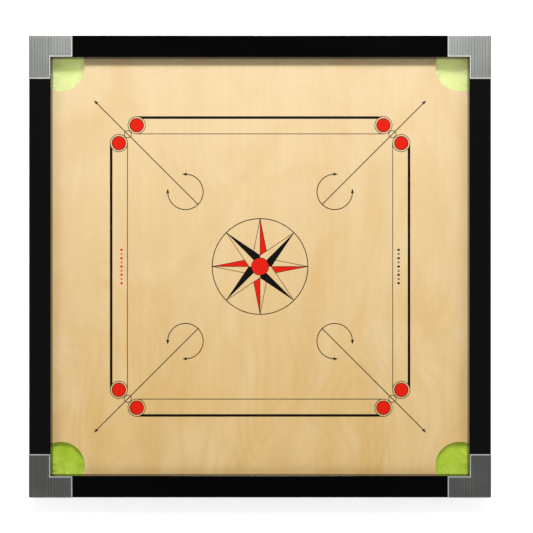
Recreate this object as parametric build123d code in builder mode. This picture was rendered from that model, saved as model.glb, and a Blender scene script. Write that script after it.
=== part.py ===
from build123d import *
import os

# A carrom board. A square plywood playing surface sits in the rebate of a mitred wooden frame,
# over battens. Each corner has a pocket with a cloth pouch below it and a sheet guard above it.
#
# Millimetres. +Z is up, +X is to the right and +Y is away from the front player. The origin is
# the centre of the board, on the surface that it stands on.

inch = 25.4

# Frame
board_size = 32 * inch
rail_width = 1.5 * inch
rail_height = 50.0
lip_height = 19.0  # how far the rails stand above the playing surface
rebate_depth = 12.0  # how far the plywood reaches under the rails
corner_round = 2.0
edge_round = 0.8

# Playing surface and pockets
ply_thickness = 6.0
pocket_radius = 42.5
pocket_inset = 14.5  # from the rails' inner faces to the centre of the pocket's circle

# Corner guards, folded from one sheet each
guard_arm = 3 * inch
guard_skirt = 38.0
guard_sheet = 0.5

# Battens below the plywood, halved over each other and housed in the rails
batten_width = 30.0
batten_thickness = 15.0
batten_offset = 150.0
housing_depth = 6.0

# Pocket pouches
cloth = 0.8
pouch_margin = 1.5  # how far the pouch's mouth stands outside the pocket's edge
pouch_depth = 9.5
pouch_slope = 42.0
pouch_floor_round = 5.0
pouch_wall_inset = 1.1  # makes the sloping wall one cloth thick
hem_width = 12.0
turn_up = 5.5  # how far the cloth climbs the rails' rebate walls

# Mitre keys, set across each mitre from below
key_span = 12.0
key_thickness = 3.2
key_height = 34.0

# Panel pins: (shank radius, length, head radius, head height), as for every nail below
panel_pin = (0.7, 18.0, 1.5, 0.8)
panel_pin_count = 8
panel_pin_spacing = 76.0

corner_nail = (1.1, 50.0, 2.5, 1.0)
high_nail_z = 41.0
high_nail_inset = 27.0
low_nail_z = 18.0
low_nail_inset = 21.5

guard_pin = (0.6, 10.0, 1.4, 0.6)
guard_pin_insets = (12.0, 62.0)

# Batten screws: along each long batten, and along the cross batten
screw_radius = 1.75
screw_length = 19.0
screw_head_radius = 3.5
screw_head_height = 2.2
screw_slot_width = 0.9
screw_slot_depth = 1.2
long_screw_places = (60.0, 200.0, 335.0)
cross_screw_places = (75.0, 225.0, 335.0)

# Staples
crown_length = 10.0
wire_width = 1.2
wire_thickness = 0.5
leg_length = 5.0
hem_staple_count = 5
hem_staple_step = 33.0
wall_staple_places = (339.0, 361.0)

# Worked out from the above
half_board = board_size / 2
half_play = half_board - rail_width
half_panel = half_play + rebate_depth
surface_z = rail_height - lip_height
panel_z = surface_z - ply_thickness
batten_z = panel_z - batten_thickness
batten_length = 2 * (half_panel + housing_depth)
pocket_centre = half_play - pocket_inset
mouth_radius = pocket_radius + pouch_margin

# Outward directions of the sides, and turns that bring each corner to +X +Y
sides = {"right": 0, "back": 90, "left": 180, "front": 270}
corners = {"back_right": 0, "back_left": 90, "front_left": 180, "front_right": 270}

on_top = (Align.CENTER, Align.CENTER, Align.MIN)
below = (Align.CENTER, Align.CENTER, Align.MAX)

os.makedirs("parts", exist_ok=True)


def turned(angle, height=0.0):
    """The ground plane, turned about the board's centre and raised."""
    return Plane.XY.rotated((0, 0, angle)).offset(height)


def nail(shank_radius, length, head_radius, head_height):
    """A nail at each location: its head's outer face there, and its point towards -Z."""
    point_length = 2 * shank_radius
    Cylinder(head_radius, head_height, align=below)
    Cylinder(shank_radius, length - point_length, align=below)
    with Locations((0, 0, point_length - length)):
        Cone(shank_radius / 4, shank_radius, point_length, align=below)


def staple():
    """A staple at each location: its crown on the -Z side, and its legs towards +Z."""
    leg_place = (crown_length - wire_thickness) / 2
    Box(wire_width, crown_length, wire_thickness, align=below)
    with Locations((0, leg_place, 0), (0, -leg_place, 0)):
        Box(wire_width, wire_thickness, leg_length, align=on_top)


# The frame's outer envelope, with its rounded outer edges. It shapes the rails and the guards.
with BuildPart() as envelope:
    Box(board_size, board_size, rail_height, align=on_top)
    fillet(envelope.edges().filter_by(Axis.Z), corner_round)
    fillet(envelope.faces().sort_by(Axis.Z)[-1].edges(), edge_round)

# A thin cap over the envelope, one guard sheet thick
with BuildPart() as cap:
    Box(board_size + 2 * guard_sheet, board_size + 2 * guard_sheet, rail_height + guard_sheet, align=on_top)
    fillet(cap.edges().filter_by(Axis.Z), corner_round + guard_sheet)
    fillet(cap.faces().sort_by(Axis.Z)[-1].edges(), edge_round + guard_sheet)
    add(envelope.part, mode=Mode.SUBTRACT)

# Panel pins, driven up through the plywood into the rails
with BuildPart() as panel_pins:
    for angle in sides.values():
        with Locations(turned(angle)):
            with Locations((half_play + rebate_depth / 2, 0, panel_z)):
                with GridLocations(panel_pin_spacing, panel_pin_spacing, 1, panel_pin_count):
                    with Locations(Plane.XY.rotated((180, 0, 0))):
                        nail(*panel_pin)
panel_pins.part.label = "panel_pins"
export_step(panel_pins.part, "parts/panel_pins.step")

# Corner nails, driven across each mitre from both outer faces
with BuildPart() as corner_nails:
    for angle in corners.values():
        from_end = Plane((half_board - high_nail_inset, half_board, high_nail_z), z_dir=(0, 1, 0))
        from_side = Plane((half_board, half_board - low_nail_inset, low_nail_z), z_dir=(1, 0, 0))
        with Locations(turned(angle)):
            with Locations(from_end, from_side):
                nail(*corner_nail)
corner_nails.part.label = "corner_nails"
export_step(corner_nails.part, "parts/corner_nails.step")

# Guard pins, two in each skirt, with their heads standing on the sheet
head_face = half_board + guard_sheet + guard_pin[3]
guard_pin_z = rail_height - guard_skirt / 2
with BuildPart() as guard_pins:
    for angle in corners.values():
        for inset in guard_pin_insets:
            in_end = Plane((half_board - inset, head_face, guard_pin_z), z_dir=(0, 1, 0))
            in_side = Plane((head_face, half_board - inset, guard_pin_z), z_dir=(1, 0, 0))
            with Locations(turned(angle)):
                with Locations(in_end, in_side):
                    nail(*guard_pin)
guard_pins.part.label = "guard_pins"
export_step(guard_pins.part, "parts/guard_pins.step")

# Batten screws, first without their slots, as the holes they cut in the wood
long_screws = [(x, y) for x in (-batten_offset, batten_offset) for p in long_screw_places for y in (-p, p)]
cross_screws = [(x, 0) for p in cross_screw_places for x in (-p, p)]
screw_places = [(x, y, batten_z) for x, y in long_screws + cross_screws]

with BuildPart() as screw_blanks:
    with Locations(*screw_places):
        Cone(screw_head_radius, screw_radius, screw_head_height, align=on_top)
        Cylinder(screw_radius, screw_length - 2 * screw_radius, align=on_top)
        with Locations((0, 0, screw_length - 2 * screw_radius)):
            Cone(screw_radius, screw_radius / 4, 2 * screw_radius, align=on_top)

with BuildPart() as batten_screws:
    add(screw_blanks.part)
    with Locations(*screw_places):
        Box(1.2 * screw_head_radius, screw_slot_width, screw_slot_depth, align=on_top, mode=Mode.SUBTRACT)
        Box(screw_slot_width, 1.2 * screw_head_radius, screw_slot_depth, align=on_top, mode=Mode.SUBTRACT)
batten_screws.part.label = "batten_screws"
export_step(batten_screws.part, "parts/batten_screws.step")

# Pouch staples: round each hem under the plywood, and in the turn-ups on the rebate walls
staple_ring = mouth_radius + hem_width / 2
staple_range = hem_staple_step * (hem_staple_count - 1)
wall_face = half_panel - cloth
wall_staple_z = panel_z + turn_up / 2
with BuildPart() as pouch_staples:
    for angle in corners.values():
        with Locations(turned(angle)):
            with Locations((pocket_centre, pocket_centre, panel_z - cloth)):
                with PolarLocations(
                    staple_ring,
                    hem_staple_count,
                    start_angle=225 - staple_range / 2,
                    angular_range=staple_range,
                    endpoint=True,
                ):
                    staple()
            for place in wall_staple_places:
                on_side = Plane((wall_face, place, wall_staple_z), x_dir=(0, 0, 1), z_dir=(1, 0, 0))
                on_end = Plane((place, wall_face, wall_staple_z), x_dir=(0, 0, 1), z_dir=(0, 1, 0))
                with Locations(on_side, on_end):
                    staple()
pouch_staples.part.label = "pouch_staples"
export_step(pouch_staples.part, "parts/pouch_staples.step")

# Mitre keys, one across each mitre in the thick of the rails' lower legs
key_place = half_board - (rail_width - rebate_depth) / 2
mitre_keys = {}
for corner, angle in corners.items():
    with BuildPart() as mitre_key:
        with Locations(turned(angle)):
            with Locations(Location((key_place, key_place, 0), (0, 0, -45))):
                Box(key_span, key_thickness, key_height, align=on_top)
    mitre_key.part.label = f"mitre_spline_{corner}"
    export_step(mitre_key.part, f"parts/mitre_spline_{corner}.step")
    mitre_keys[corner] = mitre_key.part

# Battens. The long ones keep their lower half at the crossings, and the cross batten its upper.
half_notch = batten_thickness / 2

with BuildPart() as batten_cross:
    with Locations((0, 0, batten_z)):
        Box(batten_length, batten_width, batten_thickness, align=on_top)
    with Locations((-batten_offset, 0, batten_z), (batten_offset, 0, batten_z)):
        Box(batten_width, batten_width, half_notch, align=on_top, mode=Mode.SUBTRACT)
    add(screw_blanks.part, mode=Mode.SUBTRACT)
batten_cross.part.label = "batten_cross"
export_step(batten_cross.part, "parts/batten_cross.step")

long_battens = {}
for side, x in (("left", -batten_offset), ("right", batten_offset)):
    with BuildPart() as batten:
        with Locations((x, 0, batten_z)):
            Box(batten_width, batten_length, batten_thickness, align=on_top)
        with Locations((x, 0, batten_z + half_notch)):
            Box(batten_width, batten_width, half_notch, align=on_top, mode=Mode.SUBTRACT)
        add(screw_blanks.part, mode=Mode.SUBTRACT)
    batten.part.label = f"batten_{side}"
    export_step(batten.part, f"parts/batten_{side}.step")
    long_battens[side] = batten.part

# Rails. Each has an L section: a lip over the plywood's edge, and a leg beside it.
for side, angle in sides.items():
    across = turned(angle).x_dir
    along = turned(angle).y_dir
    with BuildPart() as rail:
        with BuildSketch(Plane((0, 0, 0), x_dir=across, z_dir=-along)):
            with BuildLine():
                Polyline(
                    (half_play, rail_height),
                    (half_board, rail_height),
                    (half_board, 0),
                    (half_panel, 0),
                    (half_panel, surface_z),
                    (half_play, surface_z),
                    close=True,
                )
            section = make_face()
            fillet(section.vertices().sort_by_distance((half_play, rail_height))[0], edge_round)
        extrude(amount=half_board, both=True)
        split(bisect_by=Plane((0, 0, 0), z_dir=across - along), keep=Keep.TOP)
        split(bisect_by=Plane((0, 0, 0), z_dir=across + along), keep=Keep.TOP)
        add(envelope.part, mode=Mode.INTERSECT)
        add(list(mitre_keys.values()), mode=Mode.SUBTRACT)
        add(list(long_battens.values()) + [batten_cross.part], mode=Mode.SUBTRACT)
        add([panel_pins.part, corner_nails.part, guard_pins.part], mode=Mode.SUBTRACT)
        add(pouch_staples.part, mode=Mode.SUBTRACT)
    rail.part.label = f"rail_{side}"
    export_step(rail.part, f"parts/rail_{side}.step")

# The playing surface, a plywood panel with its corners cut away by the pockets
pocket_places = [(x, y) for x in (-pocket_centre, pocket_centre) for y in (-pocket_centre, pocket_centre)]
with BuildPart() as playing_surface:
    with BuildSketch(Plane.XY.offset(panel_z)):
        Rectangle(2 * half_panel, 2 * half_panel)
        with Locations(*pocket_places):
            Circle(pocket_radius, mode=Mode.SUBTRACT)
    extrude(amount=ply_thickness)
    add([panel_pins.part, screw_blanks.part, pouch_staples.part], mode=Mode.SUBTRACT)
playing_surface.part.label = "playing_surface"
export_step(playing_surface.part, "parts/playing_surface.step")

# Corner guards: an L on the rails' top, with a skirt folded down each outer face
guard_outer = half_board + guard_sheet
guard_inner = half_play + edge_round
arm_end = half_board - guard_arm
for corner, angle in corners.items():
    with BuildPart() as guard:
        with BuildSketch(turned(angle, rail_height - guard_skirt)):
            with BuildLine():
                Polyline(
                    (guard_outer, guard_outer),
                    (arm_end, guard_outer),
                    (arm_end, guard_inner),
                    (guard_inner, guard_inner),
                    (guard_inner, arm_end),
                    (guard_outer, arm_end),
                    close=True,
                )
            make_face()
        extrude(amount=guard_skirt + guard_sheet)
        add(cap.part, mode=Mode.INTERSECT)
        add(guard_pins.part, mode=Mode.SUBTRACT)
    guard.part.label = f"corner_guard_{corner}"
    export_step(guard.part, f"parts/corner_guard_{corner}.step")

# Pocket pouches: a shallow bowl with a square outer corner, a hem under the plywood and a
# turn-up on each rebate wall
ply_edge_end = pocket_centre - (pocket_radius**2 - (half_panel - pocket_centre) ** 2) ** 0.5
turn_up_start = ply_edge_end + cloth
turn_up_reach = half_panel - turn_up_start


def add_mouth(radius, reach):
    """The pocket's circle, cut off square at a distance from the board's centre."""
    with Locations((pocket_centre, pocket_centre)):
        Circle(radius)
    with Locations((reach, reach)):
        Rectangle(3 * radius, 3 * radius, align=Align.MAX, mode=Mode.INTERSECT)


def bowl(angle, inset, depth, floor_round):
    """A tapered bowl shape hanging from the plywood's underside, smaller by an inset."""
    with BuildPart() as shape:
        with BuildSketch(turned(angle, panel_z)):
            add_mouth(mouth_radius - inset, half_panel - inset)
        extrude(amount=-depth, taper=pouch_slope)
        fillet(shape.faces().sort_by(Axis.Z)[0].edges(), floor_round)
    return shape.part


for corner, angle in corners.items():
    outside = bowl(angle, 0, pouch_depth, pouch_floor_round)
    inside = bowl(angle, pouch_wall_inset, pouch_depth - cloth, pouch_floor_round - cloth)
    with BuildPart() as pouch:
        add(outside)
        with BuildSketch(turned(angle, panel_z)):
            add_mouth(mouth_radius + hem_width, half_panel)
        extrude(amount=-cloth)
        with BuildSketch(turned(angle, panel_z - cloth)):
            with Locations((turn_up_start, turn_up_start)):
                Rectangle(turn_up_reach, turn_up_reach, align=Align.MIN)
                Rectangle(turn_up_reach - cloth, turn_up_reach - cloth, align=Align.MIN, mode=Mode.SUBTRACT)
        extrude(amount=cloth + turn_up)
        add(inside, mode=Mode.SUBTRACT)
        add(pouch_staples.part, mode=Mode.SUBTRACT)
    pouch.part.label = f"pocket_pouch_{corner}"
    export_step(pouch.part, f"parts/pocket_pouch_{corner}.step")
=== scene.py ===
"""The looks of the carrom board: materials, printed markings, ribbed guards and draped pouches.

Everything is in metres in the row frame: +Z up, +X right, +Y towards the back rail. Sizes
written in millimetres are multiplied by MM.
"""

import math
import random

import bmesh
import bpy
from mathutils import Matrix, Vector
from mathutils.geometry import delaunay_2d_cdt


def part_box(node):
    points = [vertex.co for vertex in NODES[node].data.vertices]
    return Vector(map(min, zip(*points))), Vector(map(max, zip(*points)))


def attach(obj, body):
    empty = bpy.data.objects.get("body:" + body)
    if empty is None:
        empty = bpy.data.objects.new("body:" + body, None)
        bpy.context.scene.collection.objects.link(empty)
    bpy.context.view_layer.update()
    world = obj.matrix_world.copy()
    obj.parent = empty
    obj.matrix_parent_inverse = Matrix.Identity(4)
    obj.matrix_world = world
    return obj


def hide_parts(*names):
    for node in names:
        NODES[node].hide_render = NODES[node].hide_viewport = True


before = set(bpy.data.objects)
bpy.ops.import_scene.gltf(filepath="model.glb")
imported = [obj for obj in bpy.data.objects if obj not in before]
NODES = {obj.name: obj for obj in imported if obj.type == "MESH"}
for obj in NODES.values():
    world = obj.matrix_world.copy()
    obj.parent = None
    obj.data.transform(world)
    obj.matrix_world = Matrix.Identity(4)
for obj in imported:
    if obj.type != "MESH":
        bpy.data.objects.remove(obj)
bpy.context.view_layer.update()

MM = 0.001
SIDES = ("front", "back", "left", "right")
CORNERS = {"back_right": (1, 1), "back_left": (-1, 1), "front_left": (-1, -1), "front_right": (1, -1)}

# Places read from the frame
surface_low, surface_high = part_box("playing_surface")
rail_low, rail_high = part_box("rail_right")
guard_low, guard_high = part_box("corner_guard_back_right")
pouch_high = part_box("pocket_pouch_back_right")[1]
SURFACE_Z = surface_high.z
PANEL_Z = surface_low.z
HALF_PANEL = surface_high.x
HALF_PLAY = rail_low.x
HALF_BOARD = rail_high.x
RAIL_TOP = rail_high.z


# ---------------------------------------------------------------- node materials

# Colours are linear, from 0 to 1. Noise scales are in cells per metre.
PLIES = 5
PAINTED_LIGHT_FROM = 0.42  # painted light: the veneer turns from its golden tone in front to a paler, brighter tone at the back between this y and its opposite, as if lit more strongly at the back
LOOP_PHASE = 110  # radians of the loops' sine over the whole range of their noise
LOOPS_FADE = (-0.32, 0.05)  # the loops are strongest in front of the first y, and fade until the second
BARE_MARGIN = 0.1 * MM  # takes in the rebate's walls and leaves out its roof
BARE_EDGE = (0.05 * MM, 1.2 * MM)  # the lacquer's lower edge wanders between these heights
THREAD = 0.55 * MM  # the length after which the weave of the pouches' cloth repeats
PAINTED_SHEEN_RANGE = (0.84, 1.16)  # painted light: the guards' brightness at the front and at the back, darker in front and brighter behind where the light's sheen falls


class Graph:
    """A material with one Principled shader and short calls for the nodes that drive it."""

    def __init__(self, name, **constants):
        self.material = bpy.data.materials.new(name)
        self.material.use_nodes = True
        self.tree = self.material.node_tree
        self.shader = self.tree.nodes["Principled BSDF"]
        for socket, value in constants.items():
            self.shader.inputs[socket.replace("_", " ")].default_value = value

    def add(self, kind, inputs, **settings):
        """A node with its settings, and each input linked to a socket or set to a value."""
        node = self.tree.nodes.new(kind)
        for name, value in settings.items():
            setattr(node, name, value)
        for name, value in inputs.items():
            if isinstance(value, bpy.types.NodeSocket):
                self.tree.links.new(value, node.inputs[name])
            else:
                node.inputs[name].default_value = value
        return node

    def drive(self, socket, source):
        self.tree.links.new(source, self.shader.inputs[socket])

    def place(self, scale=(1, 1, 1)):
        """Object coordinates, stretched."""
        where = self.add("ShaderNodeTexCoord", {}).outputs["Object"]
        return self.add("ShaderNodeMapping", {"Vector": where, "Scale": scale}).outputs["Vector"]

    def math(self, operation, a, b=0.0):
        return self.add("ShaderNodeMath", {0: a, 1: b}, operation=operation).outputs[0]

    def split(self, vector):
        parts = self.add("ShaderNodeSeparateXYZ", {"Vector": vector})
        return [parts.outputs[axis] for axis in "XYZ"]

    def facing(self):
        """The three parts of the surface's normal."""
        return self.split(self.add("ShaderNodeNewGeometry", {}).outputs["Normal"])

    def noise(self, scale, detail=2.0, roughness=0.5, distortion=0.0):
        """Noise from 0 to 1, with a scale in cells per metre along each axis."""
        inputs = {
            "Vector": self.place(scale),
            "Scale": 1.0,
            "Detail": detail,
            "Roughness": roughness,
            "Distortion": distortion,
        }
        return self.add("ShaderNodeTexNoise", inputs).outputs["Fac"]

    def spread(self, value, low, high, new_low=0.0, new_high=1.0):
        """A value taken from one range to another, and kept inside it."""
        inputs = {"Value": value, 1: low, 2: high, 3: new_low, 4: new_high}
        return self.add("ShaderNodeMapRange", inputs).outputs[0]

    def mix(self, factor, a, b, blend="MIX"):
        """Two colours mixed. A colour is a socket or three numbers."""
        colours = [c if isinstance(c, bpy.types.NodeSocket) else (*c, 1.0) for c in (a, b)]
        inputs = {0: factor, 6: colours[0], 7: colours[1]}
        return self.add("ShaderNodeMix", inputs, data_type="RGBA", blend_type=blend).outputs[2]

    def bump(self, height, distance, strength=1.0):
        inputs = {"Height": height, "Distance": distance, "Strength": strength}
        self.drive("Normal", self.add("ShaderNodeBump", inputs).outputs["Normal"])


def grain_scale(along, fine, long):
    """Cells per metre across and along the grain, which runs along axis 0 or 1."""
    scale = [fine, fine, fine]
    scale[along] = long
    return tuple(scale)


def wood(graph, along, light, dark, contrast=1.0):
    """A wood colour with bands, streaks and flecks along one axis, and the flecks alone."""
    bands = graph.noise(grain_scale(along, 16, 1.3), 3.0, 0.55, 0.6)
    streaks = graph.noise(grain_scale(along, 130, 4.5), 3.0, 0.6)
    flecks = graph.noise(grain_scale(along, 700, 26), 2.0, 0.6)
    tone = 0.0
    for noise, low, high, share in (
        (bands, 0.3, 0.7, 0.5),
        (streaks, 0.3, 0.7, 0.3),
        (flecks, 0.35, 0.75, 0.2),
    ):
        tone = graph.math("ADD", tone, graph.spread(noise, low, high, 0.0, share * contrast))
    return graph.mix(tone, light, dark), flecks


def face_veneer(g):
    """Lacquered birch: golden at the front and painted paler at the back as painted light, with a soft
    figure and loops.
    """
    painted_lit_veneer, flecks = wood(g, 1, (0.980, 0.755, 0.440), (0.890, 0.650, 0.340))
    golden, _ = wood(g, 1, (0.800, 0.530, 0.195), (0.690, 0.430, 0.130))
    # Painted light: the golden veneer is blended into a paler one towards the back, where the light
    # falls stronger.
    y = g.split(g.place())[1]
    top = g.mix(g.spread(y, -PAINTED_LIGHT_FROM, PAINTED_LIGHT_FROM, 1.0, 0.0), painted_lit_veneer, golden)
    figure = g.noise((7, 2.4, 1), 3.0, 0.55, 1.6)
    top = g.mix(g.spread(figure, 0.40, 0.72, 0.0, 0.55), top, (0.90, 0.70, 0.40))
    honey = g.noise((5, 3.1, 2), 2.0, 0.5, 2.4)
    top = g.mix(g.spread(honey, 0.45, 0.75, 0.0, 0.5), top, (0.79, 0.49, 0.17))
    loops = g.math("SINE", g.math("MULTIPLY", g.noise((6, 3.4, 1), 1.0, 0.4, 0.35), LOOP_PHASE))
    strength = g.spread(y, *LOOPS_FADE, 0.13, 0.035)
    top = g.mix(g.math("MULTIPLY", g.spread(loops, -0.2, 1.0), strength), top, (0.60, 0.36, 0.12))
    return top, flecks


def cut_plies(g):
    """The layers at the plywood's cut edges, light and dark in turn."""
    height = g.math("SUBTRACT", g.split(g.place())[2], PANEL_Z)
    layer = g.math("MULTIPLY", height, PLIES / (SURFACE_Z - PANEL_Z))
    cross = g.math("GREATER_THAN", g.math("MODULO", layer, 2.0), 1.0)
    fibres = g.noise((260, 260, 900), 2.0)
    ply = g.mix(cross, (0.58, 0.40, 0.22), (0.33, 0.19, 0.09))
    return g.mix(g.spread(fibres, 0.3, 0.7, 0.0, 0.4), ply, (0.22, 0.12, 0.055))


def playing_ply():
    """The face veneer on top, bare veneer below and the plies at the cut edges."""
    g = Graph("playing_ply", Specular_IOR_Level=0.6, Coat_Roughness=0.14)
    top, flecks = face_veneer(g)
    below, _ = wood(g, 1, (0.52, 0.36, 0.20), (0.40, 0.26, 0.135), 1.3)
    up = g.facing()[2]
    colour = g.mix(g.math("GREATER_THAN", up, 0.5), cut_plies(g), top)
    colour = g.mix(g.math("LESS_THAN", up, -0.5), colour, below)
    g.drive("Base Color", colour)
    g.drive("Coat Weight", g.math("MULTIPLY", g.math("GREATER_THAN", up, 0.5), 0.3))
    g.drive("Roughness", g.spread(flecks, 0.2, 0.8, 0.44, 0.54))
    g.bump(flecks, 0.02 * MM)
    return g.material


def rail_lacquer(name, along, black):
    """Gloss black lacquer over wood, bare on the underside and in the rebate."""
    g = Graph(name, Specular_IOR_Level=0.32)
    x, y, z = g.split(g.place())
    reach = g.math("MAXIMUM", g.math("ABSOLUTE", x), g.math("ABSOLUTE", y))
    inside = g.math("LESS_THAN", reach, HALF_PANEL + BARE_MARGIN)
    inside = g.math("MULTIPLY", inside, g.math("LESS_THAN", z, SURFACE_Z - BARE_MARGIN))
    drips = g.noise((90, 90, 90), 3.0)
    edge = g.spread(drips, 0.35, 0.65, *BARE_EDGE)
    bare = g.math("MAXIMUM", inside, g.math("LESS_THAN", z, edge))
    specks = g.spread(g.noise((520, 520, 520), 1.0), 0.76, 0.82)
    black = g.mix(specks, black, [4 * c for c in black])
    raw, flecks = wood(g, along, (0.42, 0.25, 0.13), (0.27, 0.145, 0.07), 1.2)
    g.drive("Base Color", g.mix(bare, black, raw))
    smears = g.spread(g.noise(grain_scale(along, 22, 6), 3.0), 0.35, 0.7, 0.07, 0.13)
    g.drive("Roughness", g.math("MAXIMUM", smears, g.math("MULTIPLY", bare, 0.7)))
    g.bump(g.math("ADD", g.math("MULTIPLY", flecks, 0.5), g.noise((300, 300, 300), 1.0)), 0.012 * MM)
    return g.material


def plain_wood(name, along, light, dark):
    """Planed bare wood, with darker ends and pores."""
    g = Graph(name, Specular_IOR_Level=0.3)
    colour, flecks = wood(g, along, light, dark, 1.3)
    ends = g.math("GREATER_THAN", g.math("ABSOLUTE", g.facing()[along]), 0.7)
    g.drive("Base Color", g.mix(g.math("MULTIPLY", ends, 0.5), colour, [0.6 * c for c in dark]))
    g.drive("Roughness", g.spread(flecks, 0.3, 0.7, 0.55, 0.75))
    g.bump(flecks, 0.05 * MM)
    return g.material


def guard_metal(name, light, dark):
    """Satin grey sheet with a few smudges, painted darker at the front of the board and brighter at the
    back as painted light.
    """
    g = Graph(name, Metallic=1.0)
    bands = g.noise((190, 3, 190), 2.0, 0.6)
    smudge = g.noise((26, 26, 26), 3.0)
    tone = g.math("ADD", g.math("MULTIPLY", bands, 0.4), g.math("MULTIPLY", smudge, 0.6))
    sheet = g.mix(g.spread(tone, 0.35, 0.65), light, dark)
    # Painted light: the colour is darkened towards the front and brightened towards the back, standing
    # in for the light's sheen.
    painted_sheen = g.spread(g.split(g.place())[1], -HALF_BOARD, HALF_BOARD, *PAINTED_SHEEN_RANGE)
    g.drive("Base Color", g.mix(1.0, sheet, painted_sheen, "MULTIPLY"))
    g.drive("Roughness", g.spread(smudge, 0.3, 0.7, 0.295, 0.345))
    g.bump(g.noise((900, 120, 900), 2.0), 0.01 * MM)
    return g.material


def guard_edge():
    """A worn whitish coat on the guards' cut edges."""
    g = Graph("guard_edge", Specular_IOR_Level=0.4, Metallic=0.5)
    wear = g.noise((140, 140, 140), 3.0)
    g.drive("Base Color", g.mix(g.spread(wear, 0.45, 0.8), (0.72, 0.73, 0.71), (0.5, 0.5, 0.48)))
    g.drive("Roughness", g.spread(wear, 0.3, 0.7, 0.35, 0.5))
    return g.material


def steel(name, colour):
    """Zinc-plated steel with fine drawing marks."""
    g = Graph(name, Metallic=1.0)
    marks = g.noise((900, 900, 900), 2.0)
    g.drive("Base Color", g.mix(g.spread(marks, 0.3, 0.7), colour, [0.7 * c for c in colour]))
    g.drive("Roughness", g.spread(marks, 0.3, 0.7, 0.28, 0.45))
    return g.material


def ink(name, colour, worn):
    """Silk-screened ink, a little uneven where the screen laid it down."""
    g = Graph(name, Specular_IOR_Level=0.06, Coat_Weight=0.2, Coat_Roughness=0.12)
    lay = g.noise((420, 420, 420), 3.0, 0.6)
    g.drive("Base Color", g.mix(g.spread(lay, 0.4, 0.75), colour, worn))
    g.drive("Roughness", g.spread(lay, 0.3, 0.7, 0.4, 0.55))
    return g.material


def pouch_cloth(name, light, dark, through):
    """Thin lime satin: a fine plain weave with a soft sheen, which lets light through as told."""
    g = Graph(name, Roughness=0.48, Specular_IOR_Level=0.6, Sheen_Weight=0.1, Sheen_Roughness=0.4)
    for socket, value in (("Weight", through), ("Radius", (1, 1, 1)), ("Scale", 3 * MM)):
        g.shader.inputs["Subsurface " + socket].default_value = value
    x, y, _ = g.split(g.place())
    threads = 2 * math.pi / THREAD
    warp = g.math("SINE", g.math("MULTIPLY", x, threads))
    weft = g.math("SINE", g.math("MULTIPLY", y, threads))
    weave = g.math("MULTIPLY", warp, weft)
    uneven = g.noise((34, 34, 34), 2.0, 0.4, 0.8)
    tone = g.math("ADD", g.spread(uneven, 0.35, 0.65, 0.0, 0.8), g.spread(weave, -1.0, 1.0, 0.0, 0.3))
    g.drive("Base Color", g.mix(tone, light, dark))
    g.bump(weave, 0.05 * MM)
    return g.material


# ---------------------------------------------------------------- meshes


def new_piece(name, mesh, material, smooth=False):
    """A shown piece of the board, riding on its only body."""
    obj = bpy.data.objects.new(name, mesh)
    bpy.context.scene.collection.objects.link(obj)
    mesh.materials.append(material)
    mesh.polygons.foreach_set("use_smooth", [smooth] * len(mesh.polygons))
    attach(obj, "root")
    return obj


def mesh_from(bm, name):
    bmesh.ops.recalc_face_normals(bm, faces=bm.faces)
    mesh = bpy.data.meshes.new(name)
    bm.to_mesh(mesh)
    bm.free()
    return mesh


def add_slab(bm, outline, low, high):
    """A flat solid over a closed outline of (x, y) points."""
    rims = [[bm.verts.new((x, y, z)) for x, y in outline] for z in (low, high)]
    for rim in rims:
        bm.faces.new(rim)
    for i in range(len(outline)):
        j = (i + 1) % len(outline)
        bm.faces.new((rims[0][i], rims[0][j], rims[1][j], rims[1][i]))


def add_band(bm, inner, outer, low, high, closed=False):
    """A flat solid between two rows of (x, y) points, as for a line, an arc or a ring."""
    rows = [[bm.verts.new((x, y, z)) for x, y in row] for z in (low, high) for row in (inner, outer)]
    inner_low, outer_low, inner_high, outer_high = rows
    steps = len(inner) if closed else len(inner) - 1
    for i in range(steps):
        j = (i + 1) % len(inner)
        bm.faces.new((inner_high[i], outer_high[i], outer_high[j], inner_high[j]))
        bm.faces.new((inner_low[i], inner_low[j], outer_low[j], outer_low[i]))
        bm.faces.new((inner_low[i], inner_high[i], inner_high[j], inner_low[j]))
        bm.faces.new((outer_low[i], outer_low[j], outer_high[j], outer_high[i]))
    if not closed:
        for i in (0, -1):
            bm.faces.new((inner_low[i], outer_low[i], outer_high[i], inner_high[i]))


def polar(radius, degrees):
    return Vector((radius * math.cos(math.radians(degrees)), radius * math.sin(math.radians(degrees))))


def arc_points(centre, radius, start, end, count):
    turns = [start + (end - start) * i / (count - 1) for i in range(count)]
    return [centre + polar(radius, turn) for turn in turns]


# ---------------------------------------------------------------- printed markings

# Standard carrom sizes
BASE_EDGE = HALF_PLAY - 101.6 * MM  # outer edge of the thick base line
BASE_CIRCLE = 31.8 * MM
BASE_HALF = 219.1 * MM  # from the middle of a base line to its circles' centres
BASE_MIDDLE = BASE_EDGE - BASE_CIRCLE / 2
THICK = 4.5 * MM  # line widths
THIN = 1.5 * MM
FINE = 1.2 * MM
BASE_RING = 1.1 * MM
STAR_LINE = 0.95 * MM
CENTRE_RING = 0.9 * MM
DISC_GAP = 0.4 * MM  # how far a red disc stays inside the outside of its ring
RED_DISC = 25.4 * MM
SMALL_CIRCLE = 14.0 * MM
ARROW_TIP = 295 * MM  # along each axis, on the diagonals
ARROW_END = 109.5 * MM
ARC_CENTRE = 132.5 * MM
ARC_RADIUS = 32.2 * MM
ARC_START, ARC_END = 92, 358  # degrees from the diagonal's first axis
HEAD_LENGTH = 8.5 * MM
HEAD_HOLLOW = 0.15  # how deep a head's back is hollowed, as a share of its length
HEAD_WIDTH = 5.8 * MM
ARC_HEAD_WIDTH = 6 * MM
HEAD_REACH = 5.8 * MM  # from an arc's end to the tip of its head
LINE_IN_HEAD = 5 * MM  # how far short of its head's tip an arrow's line stops
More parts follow.
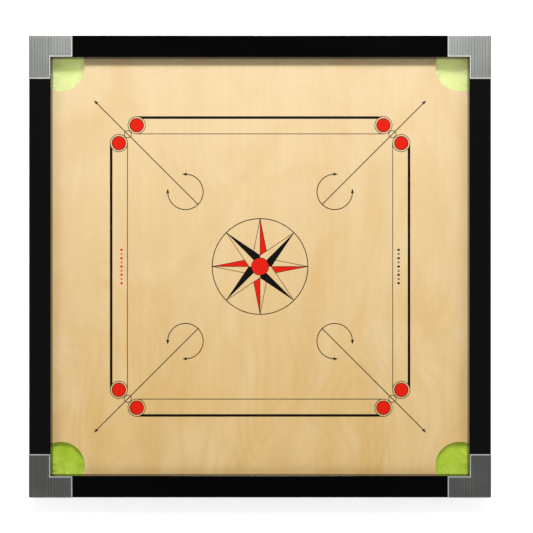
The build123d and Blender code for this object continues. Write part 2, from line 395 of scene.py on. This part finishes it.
STAR_RADIUS = 85 * MM
STAR_INNER = 19.8 * MM
CENTRE_DISC = 31.8 * MM
MARK_MIDDLE = 246 * MM  # from the board's centre to each row of marks
MARK_STEP = 7.4 * MM
MARK_COUNT = 9
BAR_HALF = 1.9 * MM
BAR_SHIFT = 1 * MM
LOZENGE = (3.2 * MM, 2.4 * MM)  # half its width and half its height

# The inks are thin solids. Black lies over red, and the centre disc and its ring over both.
INK_LOW = SURFACE_Z - 0.05 * MM
RED_TOP = SURFACE_Z + 0.06 * MM
BLACK_TOP = SURFACE_Z + 0.11 * MM
CENTRE_DISC_TOP = BLACK_TOP + 0.03 * MM
CENTRE_RING_TOP = BLACK_TOP + 0.05 * MM
RING_STEPS = 72
ARC_STEPS = 96
BITE_STEPS = 8


def add_ring(bm, centre, radius, width, top):
    rows = [arc_points(centre, r, 0, 360, RING_STEPS + 1)[:-1] for r in (radius - width, radius)]
    add_band(bm, *rows, INK_LOW, top, closed=True)


def add_disc(bm, centre, radius, top):
    add_slab(bm, arc_points(centre, radius, 0, 360, RING_STEPS + 1)[:-1], INK_LOW, top)


def add_line(bm, start, end, width, top=BLACK_TOP):
    side = (end - start).normalized().orthogonal() * width / 2
    add_band(bm, [start - side, end - side], [start + side, end + side], INK_LOW, top)


def add_arrowhead(bm, tip, direction, width):
    """A filled head with a slightly hollow back."""
    direction = direction.normalized()
    side = direction.orthogonal() * width / 2
    back = tip - direction * HEAD_LENGTH
    hollow = back + direction * HEAD_LENGTH * HEAD_HOLLOW
    add_slab(bm, [tip, back + side, hollow, back - side], INK_LOW, BLACK_TOP)


def print_base_lines():
    """The thin inner and thick outer line of each base; the thick one stops at its two circles."""
    bm = bmesh.new()
    deep = math.degrees(math.acos(1 - 2 * THICK / BASE_CIRCLE))
    bite = arc_points(Vector((0, BASE_HALF)), BASE_CIRCLE / 2, 0, -deep, BITE_STEPS + 1)
    bite = [Vector((BASE_MIDDLE + p.x, p.y)) for p in bite]
    outline = bite + [Vector((p.x, -p.y)) for p in reversed(bite)]
    inner = BASE_EDGE - BASE_CIRCLE + FINE / 2
    for turn in range(0, 360, 90):
        out, along = polar(1, turn), polar(1, turn + 90)
        add_slab(bm, [out * p.x + along * p.y for p in outline], INK_LOW, BLACK_TOP)
        add_line(bm, out * inner - along * BASE_HALF, out * inner + along * BASE_HALF, FINE)
    return mesh_from(bm, "print_base_lines")


def base_circle_centres():
    for turn in range(0, 360, 90):
        for end in (-1, 1):
            yield polar(BASE_MIDDLE, turn) + polar(BASE_HALF * end, turn + 90)


def print_base_rings():
    """The black rings: round each base circle, round each red disc and between the pairs."""
    bm = bmesh.new()
    for centre in base_circle_centres():
        add_ring(bm, centre, BASE_CIRCLE / 2, BASE_RING, BLACK_TOP)
        add_ring(bm, centre, RED_DISC / 2, FINE, BLACK_TOP)
    for sx, sy in CORNERS.values():
        middle = (BASE_MIDDLE + BASE_HALF) / 2
        add_ring(bm, Vector((sx * middle, sy * middle)), SMALL_CIRCLE / 2, FINE, BLACK_TOP)
    return mesh_from(bm, "print_base_rings")


def print_red_discs():
    bm = bmesh.new()
    for centre in base_circle_centres():
        add_disc(bm, centre, RED_DISC / 2 - DISC_GAP, RED_TOP)
    add_disc(bm, Vector((0, 0)), CENTRE_DISC / 2 - DISC_GAP, CENTRE_DISC_TOP)
    return mesh_from(bm, "print_red_discs")


def print_arrows():
    """Each diagonal arrow and the open arc at its inner end, with a head on both ends."""
    bm = bmesh.new()
    for turn in range(0, 360, 90):
        outward = polar(math.sqrt(2), turn + 45)
        add_line(bm, outward * ARROW_END, outward * (ARROW_TIP - LINE_IN_HEAD), THIN)
        add_arrowhead(bm, outward * ARROW_TIP, outward, HEAD_WIDTH)
        centre = outward * ARC_CENTRE
        inner, outer = [
            arc_points(centre, radius, turn + ARC_START, turn + ARC_END, ARC_STEPS + 1)
            for radius in (ARC_RADIUS - THIN, ARC_RADIUS)
        ]
        add_band(bm, inner, outer, INK_LOW, BLACK_TOP)
        for place, heading in ((turn, turn + 90), (turn + 90, turn)):
            end = centre + polar(ARC_RADIUS - THIN / 2, place)
            add_arrowhead(bm, end + polar(HEAD_REACH, heading), polar(1, heading), ARC_HEAD_WIDTH)
    return mesh_from(bm, "print_arrows")


def crossing(a, b, c, d):
    """Where the line through a and b meets the line through c and d."""
    ab, cd = b - a, d - c
    share = (c - a).cross(cd) / ab.cross(cd)
    return a + ab * share


def print_star():
    """The eight-pointed star in three meshes: black halves, red halves and the outlines."""
    black, red, lines = bmesh.new(), bmesh.new(), bmesh.new()
    for turn in range(45, 360, 90):
        tip = polar(STAR_RADIUS, turn)
        before, after = polar(STAR_INNER, turn - 45), polar(STAR_INNER, turn + 45)
        add_slab(black, [tip, Vector((0, 0)), before], INK_LOW, BLACK_TOP)
        add_line(lines, tip, before, STAR_LINE)
        add_line(lines, tip, after, STAR_LINE)
    for turn in range(0, 360, 90):
        tip, corner = polar(STAR_RADIUS, turn), polar(STAR_INNER, turn)
        shoulders = []
        for side in (-45, 45):
            beside = polar(STAR_INNER, turn + side)
            shoulders.append(crossing(tip, beside, corner, polar(STAR_RADIUS, turn + side)))
        add_slab(red, [tip, corner, shoulders[0]], INK_LOW, RED_TOP)
        add_line(lines, tip, corner, STAR_LINE)
        for shoulder in shoulders:
            add_line(lines, tip, shoulder, STAR_LINE)
    add_ring(lines, Vector((0, 0)), STAR_RADIUS + THIN / 2, THIN, BLACK_TOP)
    add_ring(lines, Vector((0, 0)), CENTRE_DISC / 2, CENTRE_RING, CENTRE_RING_TOP)
    parts = {"black": black, "red": red, "lines": lines}
    return [mesh_from(bm, f"print_star_{part}") for part, bm in parts.items()]


def print_side_marks():
    """A plain row of bars and lozenges beside each base line, red on the left, black on the right."""
    meshes = []
    wide, high = LOZENGE
    for side, name in ((-1, "print_mark_left"), (1, "print_mark_right")):
        bm = bmesh.new()
        for i in range(MARK_COUNT):
            middle = Vector((side * MARK_MIDDLE, (i - MARK_COUNT // 2) * MARK_STEP))
            if i % 2:
                for shift in (-BAR_SHIFT, BAR_SHIFT):
                    ends = [middle + Vector((x, shift)) for x in (-BAR_HALF, BAR_HALF)]
                    add_line(bm, *ends, FINE)
            else:
                points = [middle + Vector(p) for p in ((-wide, 0), (0, -high), (wide, 0), (0, high))]
                add_slab(bm, points, INK_LOW, BLACK_TOP)
        meshes.append(mesh_from(bm, name))
    return meshes


# ---------------------------------------------------------------- corner guards

SHEET_TOP = guard_high.z
SHEET_FACE = guard_high.x
SHEET_INNER = HALF_PLAY + 0.8 * MM
ARM_END = guard_low.x
SKIRT_LOW = guard_low.z
BEND = 1.3 * MM
CORNER_BEND = 2.5 * MM
RIB_GROUP = 5.0 * MM  # three ribs and a wider groove
RIB_STEP = 1.35 * MM
RIB_WIDTH = 0.9 * MM
RIB_HEIGHT = 0.18 * MM
RIB_CREST = 0.84  # a rib's width at its crest, as a share of its width at its foot
RIB_MARGIN = 0.4 * MM  # from the last rib's middle to the end of the ribbed stretch
EDGE_WIDTH = 2.0 * MM
EDGE_CREST = 0.9
EDGE_HEIGHTS = (0.21 * MM, 0.18 * MM, 0.15 * MM)  # over the arm's end, along the inner edge, at the foot
EDGE_DROP = 0.015 * MM  # how much lower the strips that run the other way are, where they cross
EDGE_INSET = 0.1 * MM
STRAP_SINK = 0.05 * MM  # how far a strip's foot is set into the sheet


def over_the_edge(start, low):
    """A path across the top, round the bend and down the skirt: (outward, up, normal) rows."""
    rows = [(start, SHEET_TOP, (0, 1)), (SHEET_FACE - BEND, SHEET_TOP, (0, 1))]
    for turn in (67.5, 45, 22.5):
        normal = polar(1, turn)
        place = Vector((SHEET_FACE - BEND, SHEET_TOP - BEND)) + BEND * normal
        rows.append((*place, tuple(normal)))
    rows += [(SHEET_FACE, SHEET_TOP - BEND, (1, 0)), (SHEET_FACE, low, (1, 0))]
    return rows


def add_strap(bm, points, normals, side, width, height, crest_share):
    """A solid strip along a 3-D path: width at its foot, and a share of that at its crest."""
    rows = []
    for point, normal in zip(points, normals):
        foot, head = side * (width / 2), side * (width / 2 * crest_share)
        base, crest = point - normal * STRAP_SINK, point + normal * height
        rows.append([bm.verts.new(p) for p in (base - foot, crest - head, crest + head, base + foot)])
    for a, b in zip(rows, rows[1:]):
        for i in range(4):
            j = (i + 1) % 4
            bm.faces.new((a[i], a[j], b[j], b[i]))
    bm.faces.new(rows[0])
    bm.faces.new(reversed(rows[-1]))


def swapped(vector, swap):
    """The vector, with X and Y exchanged if swap is true."""
    return vector.yxz if swap else vector


def strap_over_edge(bm, place, start, width, height, crest_share, swap=False, low=SKIRT_LOW):
    """A strap across the top and down the +Y skirt, or down the +X one with swap."""
    points, normals = [], []
    for out, up, (n_out, n_up) in over_the_edge(start, low):
        points.append(swapped(Vector((place, out, up)), swap))
        normals.append(swapped(Vector((0, n_out, n_up)), swap))
    add_strap(bm, points, normals, swapped(Vector((1, 0, 0)), swap), width, height, crest_share)


def rib_places(start, end):
    """The middle of each rib between two places."""
    group = start + RIB_WIDTH
    while group < end:
        for i in range(3):
            if group + i * RIB_STEP < end - RIB_MARGIN:
                yield group + i * RIB_STEP
        group += RIB_GROUP


def guard_ribs(bm):
    """Ribs that run along Y, over the end skirt, and along the side skirt."""
    shape = (RIB_WIDTH, RIB_HEIGHT, RIB_CREST)
    low = SKIRT_LOW + EDGE_WIDTH
    arm_end = ARM_END + EDGE_WIDTH
    inner_end = SHEET_INNER + EDGE_WIDTH
    for x in rib_places(arm_end, SHEET_FACE - BEND):
        strap_over_edge(bm, x, inner_end if x < inner_end else arm_end, *shape, low=low)
    for z in rib_places(low, SHEET_TOP - BEND):
        ends = [Vector((SHEET_FACE, y, z)) for y in (arm_end, SHEET_FACE - CORNER_BEND)]
        add_strap(bm, ends, [Vector((1, 0, 0))] * 2, Vector((0, 0, 1)), *shape)


def guard_border(bm):
    """The pale edge along every cut edge of the sheet. Crossing strips differ a little in height."""
    middle = EDGE_WIDTH / 2
    start = ARM_END + EDGE_INSET
    up, out = Vector((0, 0, 1)), Vector((0, 1, 0))
    for swap in (False, True):
        over, inner, foot = [height - EDGE_DROP * swap for height in EDGE_HEIGHTS]
        strap_over_edge(bm, ARM_END + middle, SHEET_INNER, EDGE_WIDTH, over, EDGE_CREST, swap)
        for end, y, z, normal, side, height in (
            (SHEET_INNER + EDGE_WIDTH, SHEET_INNER + middle, SHEET_TOP, up, out, inner),
            (SHEET_FACE - CORNER_BEND, SHEET_FACE, SKIRT_LOW + middle + EDGE_INSET, out, up, foot),
        ):
            points = [swapped(Vector((x, y, z)), swap) for x in (start, end)]
            normals = [swapped(normal, swap)] * 2
            add_strap(bm, points, normals, swapped(side, swap), EDGE_WIDTH, height, EDGE_CREST)


def mirrored(build, sx, sy, name):
    """A mesh built for the +X +Y corner, taken to another corner."""
    bm = bmesh.new()
    build(bm)
    bmesh.ops.scale(bm, vec=(sx, sy, 1), verts=bm.verts)
    return mesh_from(bm, name)


# ---------------------------------------------------------------- pocket pouches

POCKET_CENTRE = HALF_PLAY - 14.5 * MM
POCKET_RADIUS = 42.5 * MM
MOUTH_RADIUS = 44 * MM
HEM_RADIUS = 56 * MM
HEM_STEPS = 59
CLOTH = 0.6 * MM
CLOTH_STEP = 2.3 * MM  # the size of the cloth's triangles
POINT_GAP = 0.62 * CLOTH_STEP  # the least from an inner point to one on the rim or on a fold
FOLD_GAP = 0.6 * CLOTH_STEP  # the least from a point on a fold to the fold's end
JITTER = 0.16  # how far a point is moved from an even grid, as a share of CLOTH_STEP
AIR = 0.02 * MM  # between the cloth and the wood
WALL = HALF_PANEL - CLOTH / 2 - AIR
HEM_Z = PANEL_Z - CLOTH / 2 - AIR
TURN_UP = pouch_high.z - HEM_Z
FLAP_PAST_EDGE = 1 * MM  # from where the pocket's circle meets a wall to the flap's start
FLAP_NOTCH = 0.6 * MM  # from a flap's end to the other wall
SAG = 7 * MM
START_SAG = 0.5  # how deep the cloth is before it hangs, as a share of SAG
START_JITTER = 0.03  # how uneven it is then
FULLNESS = 0.12  # how much wider the cloth is than the mouth it hangs in
SIM_SCALE = 10
SIM_FRAMES = 45
FIRST_SEED = 11


def stepped(points, step):
    """A closed outline with a point at least every step."""
    out = []
    for a, b in zip(points, points[1:] + points[:1]):
        count = max(1, round((b - a).length / step))
        out += [a.lerp(b, i / count) for i in range(count)]
    return out


def cut_outline():
    """The flat cut of the +X +Y pouch, and where its flaps start.

    It is an arc and a flap to turn up each wall, with a notch between the flaps.
    """
    reach = math.degrees(math.acos((WALL - POCKET_CENTRE) / HEM_RADIUS))
    centre = Vector((POCKET_CENTRE, POCKET_CENTRE))
    arc = arc_points(centre, HEM_RADIUS, 90 + reach, 360 - reach, HEM_STEPS + 1)
    half_opening = math.sqrt(POCKET_RADIUS**2 - (HALF_PANEL - POCKET_CENTRE) ** 2)
    start = POCKET_CENTRE - half_opening + FLAP_PAST_EDGE
    end = WALL - FLAP_NOTCH
    flap = [(WALL, start), (WALL + TURN_UP, start), (WALL + TURN_UP, end), (WALL, WALL)]
    return arc + [Vector(p) for p in flap] + [Vector((y, x)) for x, y in reversed(flap[:-1])], start


def flat_cut(rng):
    """The cut as an even triangle mesh with an edge along each fold: points and faces."""
    corners, start = cut_outline()
    rim = stepped(corners, CLOTH_STEP)
    folds = []
    for i in range(1, round((WALL - start) / CLOTH_STEP)):
        along = start + i * CLOTH_STEP
        if along < WALL - FOLD_GAP:
            folds += [Vector((WALL, along)), Vector((along, WALL))]
    low = POCKET_CENTRE - HEM_RADIUS
    inner = []
    row = 0
    y = low
    while y < WALL + TURN_UP:
        x = low + (row % 2) * CLOTH_STEP / 2
        while x < WALL + TURN_UP:
            jitter = Vector((rng.uniform(-1, 1), rng.uniform(-1, 1))) * JITTER * CLOTH_STEP
            inner.append(Vector((x, y)) + jitter)
            x += CLOTH_STEP
        y += CLOTH_STEP * math.sqrt(0.75)
        row += 1
    fixed = rim + folds
    inner = [p for p in inner if min((p - q).length_squared for q in fixed) > POINT_GAP**2]
    edges = [(i, (i + 1) % len(rim)) for i in range(len(rim))]
    result = delaunay_2d_cdt(fixed + inner, edges, [], 1, 1e-7)
    return result[0], result[2]


def hung_start(point):
    """Where a point of the flat cut is before it sags: flat below the ply, or up a wall."""
    rise = max(point.x - WALL, point.y - WALL, 0.0)
    return Vector((min(point.x, WALL), min(point.y, WALL), HEM_Z + rise))


def mouth_share(point):
    """0 at the mouth's edge and 1 in the middle of the mouth."""
    from_arc = 1 - (point - Vector((POCKET_CENTRE, POCKET_CENTRE))).length / MOUTH_RADIUS
    from_wall = (WALL - max(point.x, point.y)) / MOUTH_RADIUS
    return max(0.0, min(from_arc, from_wall, 0.5) * 2)


def simulated(mesh, loose, points):
    """The mesh after it has hung from its pinned points with some slack: its new vertices."""
    scene = bpy.context.scene
    cloth_piece = bpy.data.objects.new("hanging", mesh)
    scene.collection.objects.link(cloth_piece)
    pins = cloth_piece.vertex_groups.new(name="pins")
    pins.add([i for i in range(len(points)) if i not in loose], 1.0, "REPLACE")
    modifier = cloth_piece.modifiers.new("hang", "CLOTH")
    settings = modifier.settings
    settings.quality = 8
    settings.mass = 0.25
    settings.tension_stiffness = 20
    settings.compression_stiffness = 12
    settings.shear_stiffness = 6
    settings.bending_stiffness = 0.6
    settings.shrink_min = -FULLNESS
    settings.vertex_group_mass = "pins"
    modifier.point_cache.frame_end = SIM_FRAMES
    for step in range(1, SIM_FRAMES + 1):
        scene.frame_set(step)
    hung = cloth_piece.evaluated_get(bpy.context.evaluated_depsgraph_get())
    places = [v.co.copy() for v in hung.to_mesh().vertices]
    bpy.data.objects.remove(cloth_piece)
    scene.frame_set(1)
    return places


def pouch_mesh(name, seed, sx, sy):
    """One pouch as a thin sheet, formed and hung, and its area when it was formed."""
    rng = random.Random(seed)
    points, faces = flat_cut(rng)
    loose = {i for i, p in enumerate(points) if mouth_share(p) > 0.001}
    places = []
    for p in points:
        place = hung_start(p)
        share = mouth_share(p)
        bowl = START_SAG * math.sin(share * math.pi / 2)
        place.z -= SAG * (bowl + START_JITTER * rng.uniform(-1, 1) * share)
        places.append(place)
    centre = Vector((POCKET_CENTRE, POCKET_CENTRE, HEM_Z))
    mesh = bpy.data.meshes.new(name)
    mesh.from_pydata([(p - centre) * SIM_SCALE for p in places], [], faces)
    formed_area = sum(poly.area for poly in mesh.polygons) / SIM_SCALE**2
    places = [p / SIM_SCALE + centre for p in simulated(mesh, loose, points)]
    deepest = max(HEM_Z - p.z for p in places)
    bm = bmesh.new()
    for i, p in enumerate(places):
        if i in loose:
            p.z = HEM_Z - max(0.0, HEM_Z - p.z) * SAG / deepest
        bm.verts.new((p.x * sx, p.y * sy, p.z))
    bm.verts.ensure_lookup_table()
    for face in faces:
        bm.faces.new([bm.verts[i] for i in face])
    bmesh.ops.recalc_face_normals(bm, faces=bm.faces)
    shaped = bpy.data.meshes.new(name)
    bm.to_mesh(shaped)
    bm.free()
    bpy.data.meshes.remove(mesh)
    return shaped, formed_area


def thicken(piece):
    """Rounds a thin sheet and gives it the cloth's thickness, both applied to its mesh."""
    rounder = piece.modifiers.new("rounder", "SUBSURF")
    rounder.levels = rounder.render_levels = 1
    thickness = piece.modifiers.new("thickness", "SOLIDIFY")
    thickness.thickness = CLOTH
    thickness.offset = 0
    graph = bpy.context.evaluated_depsgraph_get()
    solid = bpy.data.meshes.new_from_object(piece.evaluated_get(graph))
    piece.modifiers.clear()
    piece.data = solid


def make_pouches():
    """Front pouches in a full lime, and back ones painted paler and letting more light through, as
    painted light that brightens them and their shade.
    """
    lime = pouch_cloth("pouch_lime", (0.60, 0.80, 0.038), (0.40, 0.62, 0.014), 0.25)
    # Painted light: the back pouches' paler colour and fuller translucency stand in for brighter light
    # on them; it is the same cloth as in front.
    painted_light_lime = pouch_cloth("pouch_lime_painted_light", (0.77, 0.98, 0.33), (0.66, 0.94, 0.25), 1.0)
    for seed, (corner, (sx, sy)) in enumerate(CORNERS.items(), FIRST_SEED):
        name = f"pouch_cloth_{corner}"
        mesh, area = pouch_mesh(name, seed, sx, sy)
        piece = new_piece(name, mesh, painted_light_lime if sy > 0 else lime, smooth=True)
        thicken(piece)
        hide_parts(f"pocket_pouch_{corner}")
        rests_on = ["playing_surface"] + [f"rail_{rail}" for rail in corner.split("_")]


# ---------------------------------------------------------------- the board


def dress(node, material):
    for slot in NODES[node].material_slots:
        slot.material = material


def print_markings():
    black = ink("print_black", (0.004, 0.0035, 0.003), (0.012, 0.010, 0.008))
    red = ink("print_red", (0.84, 0.016, 0.006), (0.76, 0.015, 0.006))
    for mesh in (print_base_lines(), print_base_rings(), print_arrows()):
        new_piece(mesh.name, mesh, black)
    new_piece("print_red_discs", print_red_discs(), red)
    for mesh in print_star() + print_side_marks():
        is_red = mesh.name in ("print_star_red", "print_mark_left")
        new_piece(mesh.name, mesh, red if is_red else black)


def dress_board():
    # Painted light: the front and back rails get a darker black and the left and right rails a lighter
    # one, lit and shaded copies of one lacquer.
    black = [
        rail_lacquer("rail_lacquer_x_painted_darker", 0, (0.0020, 0.0020, 0.0020)),
        rail_lacquer("rail_lacquer_y_painted_lighter", 1, (0.0056, 0.0053, 0.0050)),
    ]
    batten = [
        plain_wood(f"batten_wood_{name}", axis, (0.52, 0.36, 0.20), (0.36, 0.22, 0.11))
        for axis, name in enumerate("xy")
    ]
    spline = plain_wood("spline_wood", 0, (0.58, 0.42, 0.25), (0.42, 0.27, 0.14))
    zinc = steel("fastener_steel", (0.55, 0.55, 0.56))
    ribs = guard_metal("guard_ribs", (0.71, 0.74, 0.70), (0.60, 0.625, 0.59))
    # Painted shade: the sheet between the ribs is coloured about half as bright as the ribs, shade
    # painted into the grooves.
    painted_shade_grooves = guard_metal("guard_grooves_painted_shade", (0.37, 0.38, 0.36), (0.29, 0.30, 0.28))
    white = guard_edge()
    for side in SIDES:
        dress(f"rail_{side}", black[side in ("left", "right")])
    dress("playing_surface", playing_ply())
    for name in ("left", "right", "cross"):
        dress(f"batten_{name}", batten[name != "cross"])
    for name in ("panel_pins", "corner_nails", "guard_pins", "batten_screws", "pouch_staples"):
        dress(name, zinc)
    for corner, (sx, sy) in CORNERS.items():
        dress(f"mitre_spline_{corner}", spline)
        dress(f"corner_guard_{corner}", painted_shade_grooves)
        for build, kind, material in ((guard_ribs, "ribs", ribs), (guard_border, "border", white)):
            name = f"guard_{kind}_{corner}"
            new_piece(name, mirrored(build, sx, sy, name), material)


dress_board()
print_markings()
make_pouches()


# ---------------------------------------------------------------- floor, light and camera

FLOOR_HALF = 40
FLOOR_TOP = -0.5 * MM
FLOOR_LOW = -4 * MM
HORIZON = (0.60, 0.74)  # heights on the sky, as the sine of the angle above the horizon
OVERHEAD = (0.79, 0.89)
TO_THE_SIDES = (0.05, 0.20)
LENS = 76.79
CAMERA_RISE = 2.0  # above the rails
CAMERA_SHIFT = 11.4 * MM  # towards +X


def add_floor():
    """A wide pale sheet that glows a little, so that the board's shadow on it stays faint."""
    bm = bmesh.new()
    outline = [(sx * FLOOR_HALF, sy * FLOOR_HALF) for sx, sy in CORNERS.values()]
    add_slab(bm, outline, FLOOR_LOW, FLOOR_TOP)
    g = Graph("floor_paper", Roughness=0.9, Emission_Strength=0.64)
    g.shader.inputs["Emission Color"].default_value = (1, 1, 1, 1)
    g.drive("Base Color", g.mix(g.noise((3, 3, 3), 2.0), (0.74, 0.74, 0.74), (0.78, 0.78, 0.78)))
    mesh = mesh_from(bm, "floor")
    mesh.materials.append(g.material)
    floor = bpy.data.objects.new("floor", mesh)
    bpy.context.scene.collection.objects.link(floor)


def add_light(name, place, aim, size, power):
    data = bpy.data.lights.new(name, "AREA")
    data.shape = "DISK"
    data.size = size
    data.energy = power
    light = bpy.data.objects.new(name, data)
    light.location = place
    light.rotation_euler = (Vector(aim) - Vector(place)).to_track_quat("-Z", "Y").to_euler()
    bpy.context.scene.collection.objects.link(light)


def set_world(low, band, side):
    """Soft light all round: a bright band high above a dimmer horizon, and dark overhead.

    The black rails mirror what is overhead, so it stays dark apart from a little on each side.
    """
    world = bpy.data.worlds.new("studio")
    world.use_nodes = True
    tree = world.node_tree
    back = tree.nodes["Background"]
    back.inputs["Color"].default_value = (1, 1, 1, 1)
    split = tree.nodes.new("ShaderNodeSeparateXYZ")
    tree.links.new(tree.nodes.new("ShaderNodeTexCoord").outputs["Generated"], split.inputs[0])
    across = tree.nodes.new("ShaderNodeMath")
    across.operation = "ABSOLUTE"
    tree.links.new(split.outputs["X"], across.inputs[0])
    total = None
    for source, *limits in (
        (split.outputs["Z"], *HORIZON, low, band),
        (split.outputs["Z"], *OVERHEAD, 0.0, -band),
        (across.outputs[0], *TO_THE_SIDES, 0.0, side),
    ):
        ramp = tree.nodes.new("ShaderNodeMapRange")
        tree.links.new(source, ramp.inputs[0])
        for socket, value in zip(ramp.inputs[1:5], limits):
            socket.default_value = value
        if total is None:
            total = ramp.outputs[0]
            continue
        adder = tree.nodes.new("ShaderNodeMath")
        tree.links.new(total, adder.inputs[0])
        tree.links.new(ramp.outputs[0], adder.inputs[1])
        total = adder.outputs[0]
    tree.links.new(total, back.inputs["Strength"])
    bpy.context.scene.world = world


def add_camera():
    data = bpy.data.cameras.new("camera")
    data.lens = LENS
    camera = bpy.data.objects.new("camera", data)
    camera.location = (CAMERA_SHIFT, 0, RAIL_TOP + CAMERA_RISE)
    bpy.context.scene.collection.objects.link(camera)
    bpy.context.scene.camera = camera


add_floor()
add_light("key", place=(0.03, 2.6, 3.4), aim=(0, 0, SURFACE_Z), size=1.0, power=117)
set_world(low=0.26, band=1.36, side=0.03)
add_camera()
bpy.context.scene.view_settings.view_transform = "Standard"
